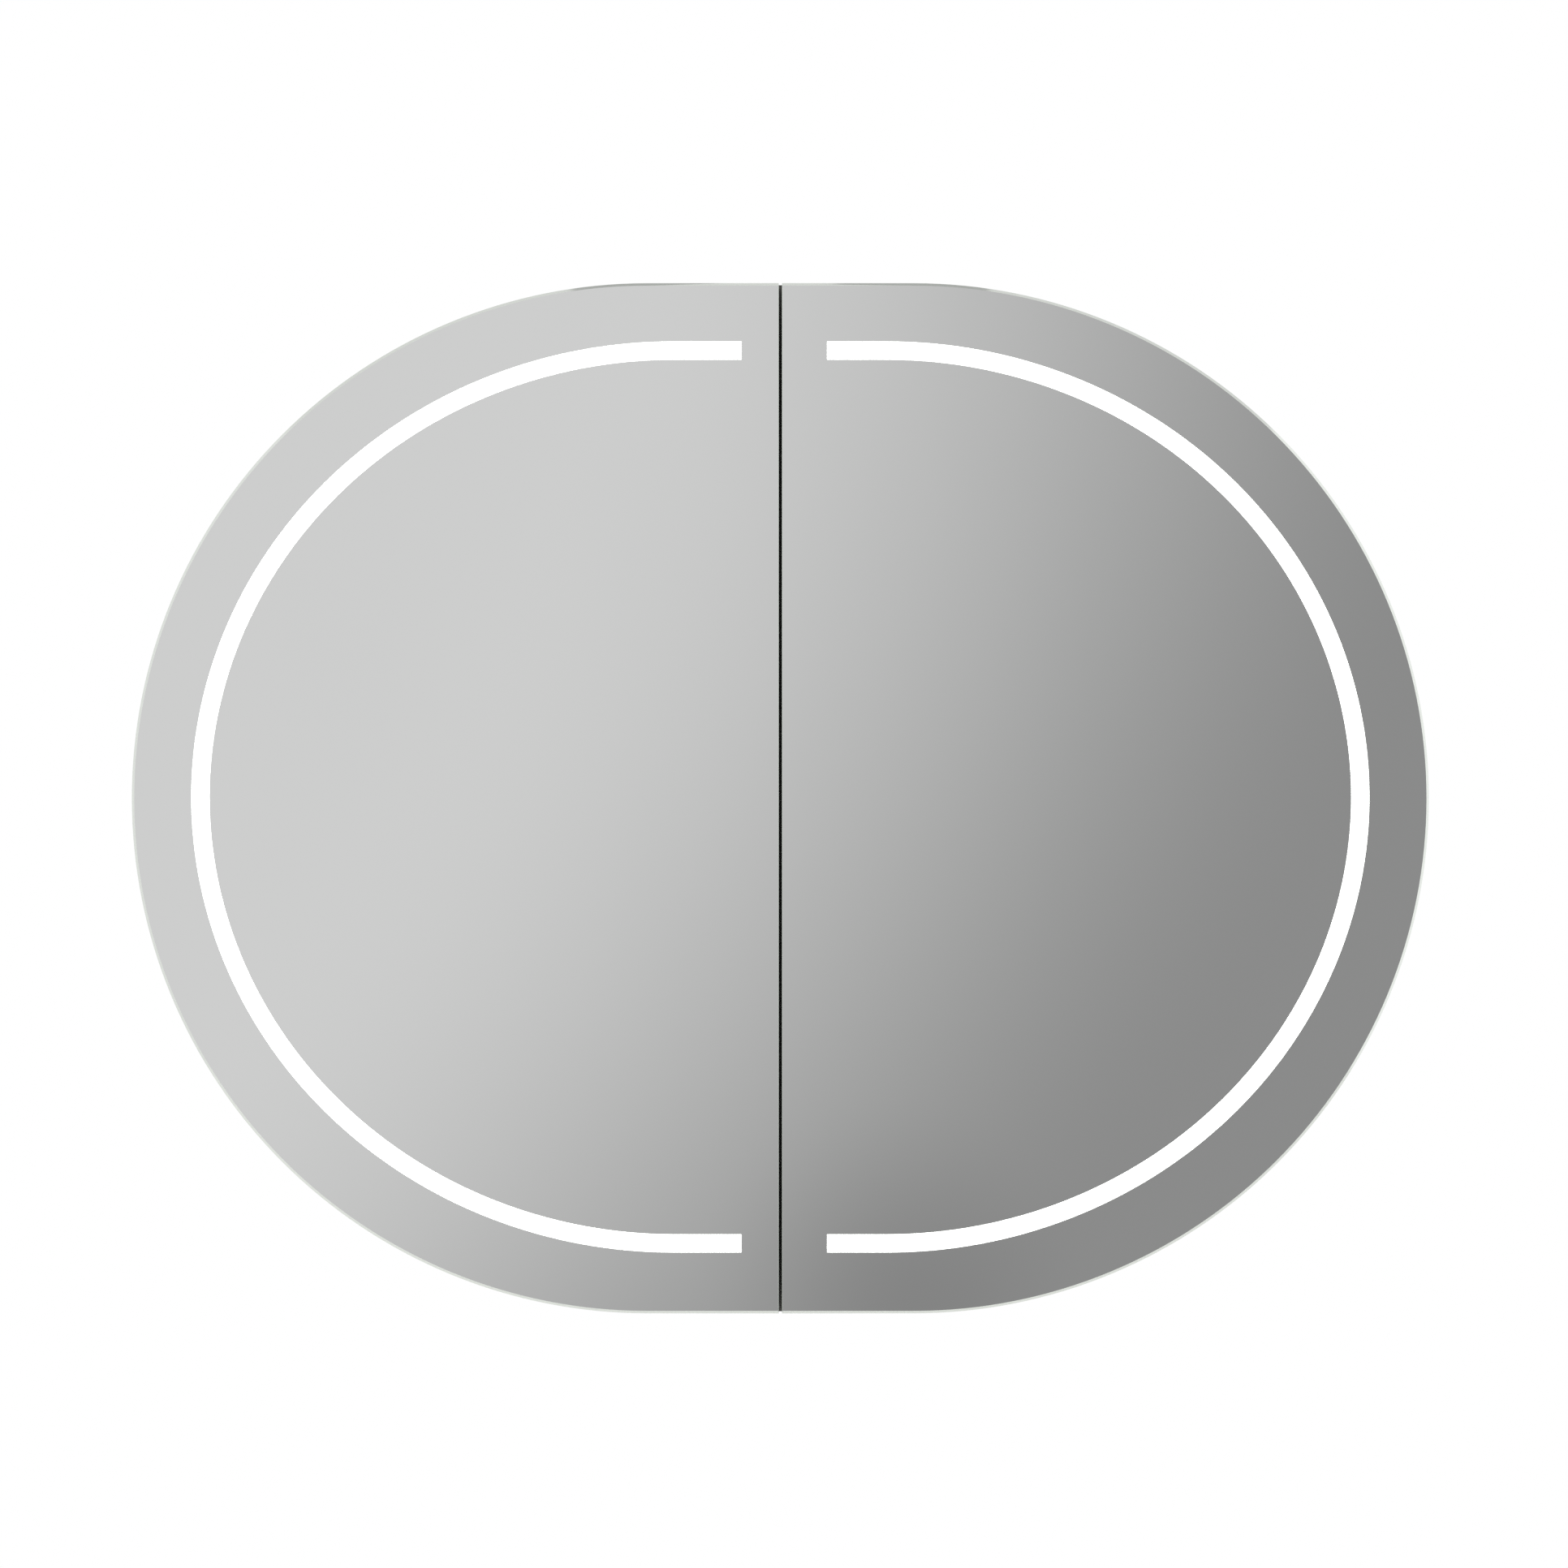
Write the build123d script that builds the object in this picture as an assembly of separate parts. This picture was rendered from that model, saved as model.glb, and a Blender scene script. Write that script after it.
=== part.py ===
from build123d import *
from math import atan2, degrees, sqrt
import os

# Medicine cabinet with two mirror doors that form one lying stadium (pill) outline.
# Frame: origin at the centre of the wall face, +X to the viewer's right, +Z up, and the front
# looks along -Y. Every "depth" below is a distance in front of the wall, so y = -depth.
# Each left-hand piece is the mirror image of its right-hand partner.

# ---------------------------------------------------------------- driving dimensions, mm
WIDTH = 1000.0                     # over both doors
HEIGHT = 794.0                     # over the doors, so the rounded ends are half circles
END_R = HEIGHT / 2                 # radius of the rounded ends
STRAIGHT = WIDTH / 2 - END_R       # half of the straight top and bottom edges

CABINET_DEPTH = 112.0              # the fixed box
BOARD = 15.0                       # its lacquered boards
BACK_BOARD = 8.0
DIVIDER = 16.0
OVERHANG = 13.0                    # the doors reach this far past the box all round
FLAT_HALF = 115.0                  # half height of the flat side boards that carry the hinges

DOOR_GAP = 3.0                     # between the box's front edge and the doors' backs
SEAM = 2.5                         # between the two doors
GLASS = 5.0                        # mirror glass
ARRIS = 2.0                        # polished bevel round the mirror glass
SEAM_ARRIS = 0.5                   # the finer one along the seam
CORE = 15.0                        # door core board
DOOR_BACK_BOARD = 4.0
EDGE_BAND = 1.5                    # aluminium band round the core
EDGE_SET_BACK = 1.5                # the band lies inside the glass outline

BAND_INSET = 46.0                  # lit band, from the door's edge
BAND_WIDTH = 14.0
BAND_CENTRE = 82.0                 # the band's rounded ends are half ellipses about this x
BAND_LIFT = 1.0                    # the band sits this much above the door's middle
BAND_END = {"left": 30.0, "right": 36.0}   # where the band stops, from the cabinet's middle
CHANNEL_WIDTH = 24.0               # aluminium channel behind the lit band
CHANNEL_WALL = 1.5
CHANNEL_DEPTH = 13.0
LED_STRIP_WIDTH = 10.0
LED_COUNT = 36                     # in each door

HINGE_HALF = 110.0                 # half height of each long hinge
KNUCKLES = 11
BARREL_R = 2.75
PIN_R = 1.5
PIN_PLAY = 0.05                    # radial, between pin and knuckles
LEAF = 1.2
AXIS_OUT = 5.0                     # hinge axis, outside the side board
AXIS_BACK = 0.1                    # hinge axis, behind the box's front edge

SHELF = 6.0
SHELF_Z = 135.0                    # shelf centre heights, above and below the middle
SHELF_DEPTHS = (14.0, 106.0)
PEG_R = 2.5

WALL_HOLES = (600.0, 400.0)        # spacing of the wall screws
WALL_HOLE_R = 4.0

BOX_X = (30.0, 190.0)              # driver and junction boxes on the back board
BOX_Z = (300.0, 345.0)
BOX_DEPTH = 30.0
BOX_WALL = 2.0
CABLE_X = 110.0                    # supply cable entry, behind the junction box
CABLE_R = 5.0
LEAD_R = 2.0
LEAD_Z = (BOX_Z[0] + BOX_Z[1]) / 2
LEAD_DEPTH = 24.0
GROMMET_Z = 93.0                   # where a lead enters its door, close to the hinge
CLAMP_Z = -20.0                    # where a lead is clamped to the side board

SWITCH_X = 60.0                    # rocker switch under the box
SWITCH_DEPTH = 60.0
ROCKER_TILT = 8.0

# ---------------------------------------------------------------- worked out from those
BOX_R = END_R - OVERHANG
INNER_R = BOX_R - BOARD
SIDE_X = STRAIGHT + sqrt(BOX_R ** 2 - FLAT_HALF ** 2)
SIDE_IN = SIDE_X - BOARD
DOOR_BACK = CABINET_DEPTH + DOOR_GAP
CORE_BACK = DOOR_BACK + DOOR_BACK_BOARD
CORE_FRONT = CORE_BACK + CORE
DOOR_FRONT = CORE_FRONT + GLASS
AXIS_X = SIDE_X + AXIS_OUT
AXIS_DEPTH = CABINET_DEPTH - AXIS_BACK
BAND_MID = BAND_INSET + BAND_WIDTH / 2
BAND_REACH = WIDTH / 2 - BAND_CENTRE - BAND_MID    # semi-axes of the band's middle line
BAND_RISE = END_R - BAND_MID
CHANNEL_BACK = CORE_FRONT - CHANNEL_DEPTH
GROMMET_X = BAND_CENTRE + BAND_REACH * sqrt(1 - ((GROMMET_Z - BAND_LIFT) / BAND_RISE) ** 2)
FIT = 0.2                          # easy fit between bonded pieces
RUNNING_GAP = 0.4                  # round knuckles and other moving edges

pieces = {}


# ---------------------------------------------------------------- helpers
def plate(sketch, back, front):
    """A solid of an x-z sketch, from depth back to depth front."""
    return extrude(Plane.XZ.offset(back) * sketch, front - back)


def block(xs, depths, zs):
    """A box between two x values, two depths and two heights."""
    size = [abs(high - low) for low, high in (xs, depths, zs)]
    return Pos(sum(xs) / 2, -sum(depths) / 2, sum(zs) / 2) * Box(*size)


def rod(x, z, radius, depths):
    """A round bar that points at the viewer, between two depths."""
    return plate(Pos(x, z) * Circle(radius), *depths)


def upright(x, depth, radius, zs):
    """A round bar along Z."""
    return Pos(x, -depth, sum(zs) / 2) * Cylinder(radius, zs[1] - zs[0])


def crossbar(depth, z, radius, xs):
    """A round bar along X."""
    return Pos(sum(xs) / 2, -depth, z) * Rot(0, 90, 0) * Cylinder(radius, xs[1] - xs[0])


def half_stadium(inset, start):
    """The right half of the stadium outline, shrunk by inset, from x = start outwards."""
    radius = END_R - inset
    whole = Pos(STRAIGHT, 0) * Circle(radius) + Rectangle(2 * STRAIGHT, 2 * radius)
    return whole & (Pos(start + WIDTH / 2, 0) * Rectangle(WIDTH, HEIGHT))


def half_band(inset, start):
    """The same for the lit band, whose ends are half ellipses, a little flatter than the door."""
    reach, rise = WIDTH / 2 - BAND_CENTRE - inset, END_R - inset
    whole = Pos(BAND_CENTRE, 0) * Ellipse(reach, rise) + Rectangle(2 * BAND_CENTRE, 2 * rise)
    return Pos(0, BAND_LIFT) * (whole & (Pos(start + WIDTH / 2, 0) * Rectangle(WIDTH, HEIGHT)))


def c_band(outer, inner, start):
    """A C-shaped strip between two insets of the band, cut off square at x = start."""
    return half_band(outer, start) - half_band(inner, start)


def flip(shape):
    """The left-hand copy of a right-hand shape."""
    return mirror(shape, about=Plane.YZ)


def group(solids):
    """Separate identical solids that share one node."""
    return Compound(children=[solid for shape in solids for solid in shape.solids()])


def save_pair(name, shape):
    """The right-hand piece and its mirror image."""
    pieces["right_" + name] = shape
    pieces["left_" + name] = flip(shape)


def countersunk(x, z, head_depth, towards, length):
    """A countersunk wood screw and the hole that it fills, as (screw, hole).

    The head is at head_depth, and the shank points to the wall (-1) or into the door (1).
    """
    head_r, shank_r, head_h = 3.2, 1.7, 1.6
    cone = Cone(shank_r, head_r, head_h)
    shank = Pos(0, 0, -(head_h + length) / 2) * Cylinder(shank_r, length)
    tip = Pos(0, 0, -head_h / 2 - length - shank_r / 2) * Cone(0.3, shank_r, shank_r)
    recess = Pos(0, 0, head_h / 2) * (Box(3.4, 0.7, 1.2) + Box(0.7, 3.4, 1.2))
    hole = Pos(0, 0, -head_h / 2) * (cone + shank + tip)
    screw = Pos(0, 0, -head_h / 2) * (cone + shank + tip - recess)
    facing = Plane(origin=(x, -head_depth, z), x_dir=(1, 0, 0), z_dir=(0, towards, 0)).location
    return facing * screw, facing * hole


# ---------------------------------------------------------------- the fixed box
def corner_board():
    """The upper right board, bent to the rounded end, down to the flat side board."""
    ring = half_stadium(OVERHANG, STRAIGHT) - half_stadium(OVERHANG + BOARD, STRAIGHT)
    above = Pos(WIDTH / 2, FLAT_HALF + HEIGHT / 2) * Rectangle(WIDTH, HEIGHT)
    return plate(ring & above, 0, CABINET_DEPTH)


def dowels():
    """Two wooden dowels across each joint between the boards of the upper right quarter."""
    half = 10.0
    found = []
    for depth in (30.0, 80.0):
        top_z = BOX_R - BOARD / 2
        found.append(crossbar(depth, top_z, 3.0, (STRAIGHT - half, STRAIGHT + half)))
        found.append(upright(SIDE_X - 9.0, depth, 3.0, (FLAT_HALF - half, FLAT_HALF + half)))
    return found


def back_board_outline():
    """The back board fills the box, with a small fitting gap."""
    right = half_stadium(OVERHANG + BOARD + FIT, -1.0)
    right = right & (Pos(SIDE_IN - FIT - WIDTH / 2, 0) * Rectangle(WIDTH, HEIGHT))
    return right + mirror(right, about=Plane.YZ)


def shelf_pegs(z_under):
    """Four pegs under one right-hand shelf: a round shank in the board and a flat tongue on it."""
    wall_x = STRAIGHT + sqrt(INNER_R ** 2 - z_under ** 2)
    z = z_under - PEG_R - 0.5
    found = []
    for depth in (32.0, 88.0):
        for wall, inwards in ((DIVIDER / 2, 1), (wall_x, -1)):
            shank = crossbar(depth, z, PEG_R, sorted((wall - inwards * 5.0, wall + inwards * 3.0)))
            tongue_x = sorted((wall + inwards * 1.0, wall + inwards * 9.0))
            tongue = block(tongue_x, (depth - 4.0, depth + 4.0), (z_under - 2.0, z_under))
            found.append(shank + tongue)
    return found


def shelf(z_under):
    """A right-hand glass shelf with rounded corners and polished edges."""
    end_x = STRAIGHT + sqrt(INNER_R ** 2 - (abs(SHELF_Z) + SHELF / 2) ** 2) - 2.0
    pane = block((DIVIDER / 2 + 1.0, end_x), SHELF_DEPTHS, (z_under, z_under + SHELF))
    pane = fillet(pane.edges().filter_by(Axis.Z), 8.0)
    return chamfer(pane.edges().group_by(Axis.Z)[-1] + pane.edges().group_by(Axis.Z)[0], 0.6)


def make_box():
    """Boards, divider, back, shelves, pegs, dowels and wall plates."""
    corner = corner_board()
    side = block((SIDE_IN, SIDE_X), (0, CABINET_DEPTH), (-FLAT_HALF, FLAT_HALF))
    top = block((-STRAIGHT, STRAIGHT), (0, CABINET_DEPTH), (INNER_R, BOX_R))
    divider = block((-DIVIDER / 2, DIVIDER / 2), (BACK_BOARD, CABINET_DEPTH), (-INNER_R, INNER_R))

    quarter = dowels()
    right = quarter + [mirror(dowel, about=Plane.XY) for dowel in quarter]
    all_dowels = right + [flip(dowel) for dowel in right]

    unders = [SHELF_Z - SHELF / 2, -SHELF_Z - SHELF / 2]
    right_pegs = [peg for under in unders for peg in shelf_pegs(under)]
    all_pegs = right_pegs + [flip(peg) for peg in right_pegs]

    divider = divider - all_pegs - crossbar(LEAD_DEPTH, LEAD_Z, 4.0, (-DIVIDER, DIVIDER))
    upper_corner = corner - right_pegs - quarter
    lower_corner = mirror(corner, about=Plane.XY) - right_pegs - right

    save_pair("upper_corner_board", upper_corner)
    save_pair("lower_corner_board", lower_corner)
    save_pair("side_board", side - right)
    pieces["top_board"] = top - all_dowels
    pieces["bottom_board"] = mirror(top, about=Plane.XY) - all_dowels - switch_cutout()
    pieces["centre_divider"] = divider
    pieces["board_dowels"] = group(all_dowels)
    pieces["shelf_pegs"] = group(all_pegs)
    for level, under in zip(("upper", "lower"), unders):
        save_pair(level + "_glass_shelf", shelf(under))

    places = [(sx * WALL_HOLES[0] / 2, sz * WALL_HOLES[1] / 2) for sx in (-1, 1) for sz in (-1, 1)]
    holes = [rod(x, z, WALL_HOLE_R, (-1, BACK_BOARD + 5)) for x, z in places]
    wall_plates = []
    for (x, z), hole in zip(places, holes):
        steel = plate(Pos(x, z) * RectangleRounded(64, 40, 6), BACK_BOARD, BACK_BOARD + 3.0)
        wall_plates.append(steel - hole)
    pieces["wall_plates"] = group(wall_plates)

    cable_hole = rod(CABLE_X, LEAD_Z, CABLE_R + 3.0, (-1, BACK_BOARD + 1))
    pieces["back_board"] = plate(back_board_outline(), 0, BACK_BOARD) - holes - cable_hole


# ---------------------------------------------------------------- electrical pieces in the box
def electric_box(cable_entry):
    """A right-hand moulded box, open to the front, on the back board."""
    back = BACK_BOARD
    front = BACK_BOARD + BOX_DEPTH
    shell = block(BOX_X, (back, front), BOX_Z)
    shell = fillet(shell.edges().filter_by(Axis.Y), 3.0)
    inner_x = (BOX_X[0] + BOX_WALL, BOX_X[1] - BOX_WALL)
    inner_z = (BOX_Z[0] + BOX_WALL, BOX_Z[1] - BOX_WALL)
    shell = shell - block(inner_x, (back + BOX_WALL, front + 1), inner_z)
    leads = crossbar(LEAD_DEPTH, LEAD_Z, LEAD_R + 0.6, (BOX_X[0] - 1, BOX_X[1] + 1))
    shell = shell - leads
    if cable_entry:
        shell = shell - rod(CABLE_X, LEAD_Z, CABLE_R + 3.0, (0, back + BOX_WALL + 1))
    return shell


def box_lid():
    """The lid of an electric box, with a shallow raised panel and cooling slots."""
    front = BACK_BOARD + BOX_DEPTH
    lid = block(BOX_X, (front, front + 2.0), BOX_Z)
    lid = fillet(lid.edges().filter_by(Axis.Y), 3.0)
    middle = sum(BOX_X) / 2
    for step in range(-3, 4):
        lid -= block((middle + step * 9 - 1.5, middle + step * 9 + 1.5), (front - 1, front + 3),
                     (BOX_Z[0] + 12, BOX_Z[1] - 12))
    return lid


def driver_board():
    """The driver's circuit board with its transformer, coil and capacitors."""
    seat = BACK_BOARD + BOX_WALL + 2.0
    xs = (BOX_X[0] + 6, BOX_X[1] - 6)
    board = block(xs, (seat, seat + 1.6), (BOX_Z[0] + 5, BOX_Z[0] + 17))
    top = seat + 1.6
    board += block((80, 104), (seat, top + 9), (BOX_Z[0] + 5, BOX_Z[0] + 17))
    for x in (55, 120, 136):
        board += rod(x, BOX_Z[0] + 11, 5.0, (seat, top + 8))
    return board


def terminal_block():
    """Three-way mains terminal block inside the junction box."""
    back = BACK_BOARD + BOX_WALL
    body = block((128, 168), (back, back + 12), (BOX_Z[0] + 4, BOX_Z[0] + 18))
    for way in range(3):
        x = 135 + way * 13
        body -= rod(x, BOX_Z[0] + 11, 2.2, (back + 8, back + 13))
    return body


def lead_route():
    """A right-hand low-voltage lead: behind the shelf, down the side board, through a clamp, and
    up beside the hinge in a slack bow to its door."""
    behind = BACK_BOARD + LEAD_R + 0.9
    found = [(BOX_X[1] - BOX_WALL, LEAD_DEPTH, LEAD_Z), (232, 20, 323)]
    for z in (306, 279, 246, 208, 166, 128):
        found.append((STRAIGHT + sqrt((INNER_R - 17.0) ** 2 - z ** 2), behind, z))
    on_side = SIDE_IN - 6.0
    found += [(on_side - 3.5, 13, 98), (on_side, 14, 64), (on_side, 15, 24), (on_side, 17, -2)]
    found += [(on_side, 27, -17), (on_side, 40, CLAMP_Z), (on_side, 64, CLAMP_Z)]
    found += [(448, 76, -27), (446, 88, -26), (442, 96, -14), (437, 100, 3), (432, 102, 24)]
    found += [(430, 103, 46), (431, 103, 64), (433, 103, 80), (GROMMET_X, 105, GROMMET_Z)]
    found.append((GROMMET_X, CORE_BACK + 1.0, GROMMET_Z))
    return [Vector(x, -depth, z) for x, depth, z in found]


def door_lead():
    """The lead's tube, with every bend as wide as its runs allow."""
    route = lead_route()
    radii = []
    for before, here, after in zip(route, route[1:], route[2:]):
        turn = (here - before).get_angle(after - here)
        shorter = min((here - before).length, (after - here).length)
        half_turn = Vector(1, 0, 0).rotate(Axis.Z, turn / 2)
        radii.append(0.45 * shorter * half_turn.X / half_turn.Y)
    print("lead bend radii", [round(radius) for radius in radii])
    path = FilletPolyline(*route, radius=radii)
    start = Plane(origin=route[0], z_dir=route[1] - route[0])
    return sweep(start * Circle(LEAD_R), path=path)


def lead_clips():
    """Saddles that hold a right-hand lead: two on the back board, one on the side board."""
    hole_r = LEAD_R + 0.4
    found = []
    route = lead_route()
    for before, after in ((3, 4), (5, 6)):
        at = (route[before] + route[after]) / 2
        along = route[after] - route[before]
        lying = Pos(at.X, 0, at.Z) * Rot(0, -degrees(atan2(along.Z, along.X)), 0)
        saddle = lying * block((-5, 5), (BACK_BOARD, LEAD_R - at.Y + 2.0), (-5, 5))
        saddle = fillet(saddle.edges().group_by(Axis.Y)[0], 0.8)
        found.append(saddle - lying * Pos(0, at.Y, 0) * Rot(0, 90, 0) * Cylinder(hole_r, 14))
    clamp = block((SIDE_IN - 10.5, SIDE_IN), (43, 53), (CLAMP_Z - 5, CLAMP_Z + 5))
    clamp = fillet(clamp.edges().group_by(Axis.X)[0], 0.8)
    found.append(clamp - rod(SIDE_IN - 6.0, CLAMP_Z, hole_r, (40, 56)))
    return found


def make_electrics():
    """Driver, junction, cable entry, leads and clips."""
    pieces["driver_box"] = flip(electric_box(False))
    pieces["driver_board"] = flip(driver_board())
    pieces["junction_box"] = electric_box(True)
    pieces["electric_box_lids"] = group([box_lid(), flip(box_lid())])
    pieces["terminal_block"] = terminal_block()
    inside = BACK_BOARD + BOX_WALL
    grommet = rod(CABLE_X, LEAD_Z, CABLE_R + 3.0, (0.5, inside))
    grommet += rod(CABLE_X, LEAD_Z, CABLE_R + 5.0, (inside, inside + 2.0))
    pieces["cable_grommet"] = grommet - rod(CABLE_X, LEAD_Z, CABLE_R, (-1, inside + 3))
    pieces["link_lead"] = crossbar(LEAD_DEPTH, LEAD_Z, LEAD_R, (-BOX_X[0] - BOX_WALL, BOX_X[0] + BOX_WALL))
    save_pair("door_lead", door_lead())
    clips = lead_clips()
    pieces["lead_clips"] = group(clips + [flip(clip) for clip in clips])


# ---------------------------------------------------------------- rocker switch under the box
def switch_cutout():
    """The rectangular hole in the bottom board."""
    return block((SWITCH_X - 10.2, SWITCH_X + 10.2), (SWITCH_DEPTH - 7.2, SWITCH_DEPTH + 7.2),
                 (-BOX_R - 1, -INNER_R + 1))


def make_switch():
    """A snap-in rocker switch: a flanged housing and a rocker on two stub pivots."""
    pivot_z = -BOX_R + 4.0
    flange = block((SWITCH_X - 12, SWITCH_X + 12), (SWITCH_DEPTH - 9, SWITCH_DEPTH + 9), (-BOX_R - 2, -BOX_R))
    flange = chamfer(flange.edges().group_by(Axis.Z)[0], 0.8)
    body = block((SWITCH_X - 10, SWITCH_X + 10), (SWITCH_DEPTH - 7, SWITCH_DEPTH + 7), (-BOX_R, -BOX_R + 28))
    cavity = block((SWITCH_X - 8.5, SWITCH_X + 8.5), (SWITCH_DEPTH - 5.5, SWITCH_DEPTH + 5.5),
                   (-BOX_R - 3, -BOX_R + 16))
    pivots = (SWITCH_DEPTH - 6.2, SWITCH_DEPTH + 6.2)
    housing = flange + body - cavity - rod(SWITCH_X, pivot_z, 1.0 + 0.06, (pivots[0] - 0.1, pivots[1] + 0.1))

    side_view = Polyline((-7.0, 3.0), (7.0, 3.0), (7.2, -6.0), (0, -4.6), (-7.2, -6.0), close=True)
    key = plate(make_face(side_view), SWITCH_DEPTH - 5.2, SWITCH_DEPTH + 5.2)
    key += rod(0, 0, 1.0, pivots)
    turned = Pos(SWITCH_X, 0, pivot_z) * Rot(0, ROCKER_TILT, 0) * key
    pieces["switch_housing"] = housing
    pieces["switch_rocker"] = turned


# ---------------------------------------------------------------- hinges
def knuckle_spans(first):
    """The heights of every second knuckle, starting with number first."""
    pitch = 2 * HINGE_HALF / KNUCKLES
    play = 0.15
    for number in range(first, KNUCKLES, 2):
        low = -HINGE_HALF + number * pitch
        yield low + play, low + pitch - play


def hinge_leaf(first, depths, inner_x):
    """A leaf of the long hinge: a flat strip and every second knuckle."""
    strip_end = AXIS_X - BARREL_R - RUNNING_GAP
    leaf = block((inner_x, strip_end), depths, (-HINGE_HALF, HINGE_HALF))
    for zs in knuckle_spans(first):
        leaf += block((strip_end - 1, AXIS_X), depths, zs)
        leaf += upright(AXIS_X, AXIS_DEPTH, BARREL_R, zs)
    return leaf - upright(AXIS_X, AXIS_DEPTH, PIN_R + PIN_PLAY, (-HINGE_HALF - 1, HINGE_HALF + 1))


def hinge_pin():
    """The hinge's steel pin with peened ends."""
    pin = upright(AXIS_X, AXIS_DEPTH, PIN_R, (-HINGE_HALF - 1.2, HINGE_HALF + 1.2))
    for end in (-1, 1):
        zs = sorted((end * (HINGE_HALF + 0.2), end * (HINGE_HALF + 1.2)))
        pin += upright(AXIS_X, AXIS_DEPTH, PIN_R + 0.6, zs)
    return pin


SCREW_ZS = (-90.0, -30.0, 30.0, 90.0)


def make_hinges():
    """One long hinge at each side, its pin, and its screws. Returns the holes in a right-hand door."""
    box_leaf_front = CABINET_DEPTH + LEAF
    door_leaf_back = DOOR_BACK - LEAF
    in_box = [countersunk(SIDE_X - 8.5, z, box_leaf_front, -1, 18.0) for z in SCREW_ZS]
    in_door = [countersunk(SIDE_X - 4.5, z + 12, door_leaf_back, 1, 12.0) for z in SCREW_ZS]
    box_screws, box_holes = zip(*in_box)
    door_screws, door_holes = zip(*in_door)
    inner_x = SIDE_IN + 1.0
    save_pair("hinge_box_leaf", hinge_leaf(0, (CABINET_DEPTH, box_leaf_front), inner_x) - list(box_holes))
    save_pair("hinge_door_leaf", hinge_leaf(1, (door_leaf_back, DOOR_BACK), inner_x) - list(door_holes))
    pieces["hinge_pins"] = group([hinge_pin(), flip(hinge_pin())])
    pieces["hinge_box_screws"] = group(list(box_screws) + [flip(screw) for screw in box_screws])
    save_pair("hinge_door_screws", group(door_screws))
    pieces["right_side_board"] -= list(box_holes)
    pieces["left_side_board"] -= [flip(hole) for hole in box_holes]
    return list(door_holes)


# ---------------------------------------------------------------- door catches
MAGNET_ZS = (-300.0, 300.0)
BUMPER_ZS = (-345.0, 345.0)
SEAL_HALF = 2.2


def make_catches():
    """Magnets and soft bumpers in the divider's front edge, and a dark seal behind the seam."""
    reach = (CABINET_DEPTH - 9, CABINET_DEPTH + 2.2)
    magnets = [block((2.5, 7.6), reach, (z - 12, z + 12)) for z in MAGNET_ZS]
    magnets = [chamfer(magnet.edges().group_by(Axis.Y)[0], 0.5) for magnet in magnets]
    magnets += [flip(magnet) for magnet in magnets]
    pieces["catch_magnets"] = group(magnets)
    pieces["centre_divider"] -= magnets
    bumpers = []
    for z in BUMPER_ZS:
        dome = rod(5.2, z, 2.6, (CABINET_DEPTH, CABINET_DEPTH + 2.6))
        bumpers.append(fillet(dome.edges().group_by(Axis.Y)[0], 1.1))
    pieces["door_bumpers"] = group(bumpers + [flip(bumper) for bumper in bumpers])
    seal_z = END_R - 0.2
    seal = block((-SEAL_HALF, SEAL_HALF), (CABINET_DEPTH, CABINET_DEPTH + 2.0), (-seal_z, seal_z))
    pieces["seam_seal"] = chamfer(seal.edges().filter_by(Axis.Z).group_by(Axis.Y)[0], 0.6)


# ---------------------------------------------------------------- the doors
def band_middle(start):
    """The middle line of the lit band, drawn in x and z, from one end to the other."""
    upper = Line((start, BAND_RISE), (BAND_CENTRE, BAND_RISE))
    bend = EllipticalCenterArc((BAND_CENTRE, 0), BAND_REACH, BAND_RISE, start_angle=-90, arc_size=180)
    lower = Line((start, -BAND_RISE), (BAND_CENTRE, -BAND_RISE))
    return Pos(0, BAND_LIFT) * Wire([upper, bend, lower])


def led_chips(start):
    """Small light emitters spaced evenly along the strip, face forward."""
    middle = band_middle(start)
    base = CHANNEL_BACK + CHANNEL_WALL + 1.0
    chip = block((-2.5, 2.5), (base, base + 1.6), (-1.75, 1.75))
    found = []
    for number in range(LED_COUNT):
        run = (number + 0.5) / LED_COUNT
        at, along = middle @ run, middle % run
        found.append(Pos(at.X, 0, at.Y) * Rot(0, -degrees(atan2(along.Y, along.X)), 0) * chip)
    return found


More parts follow.
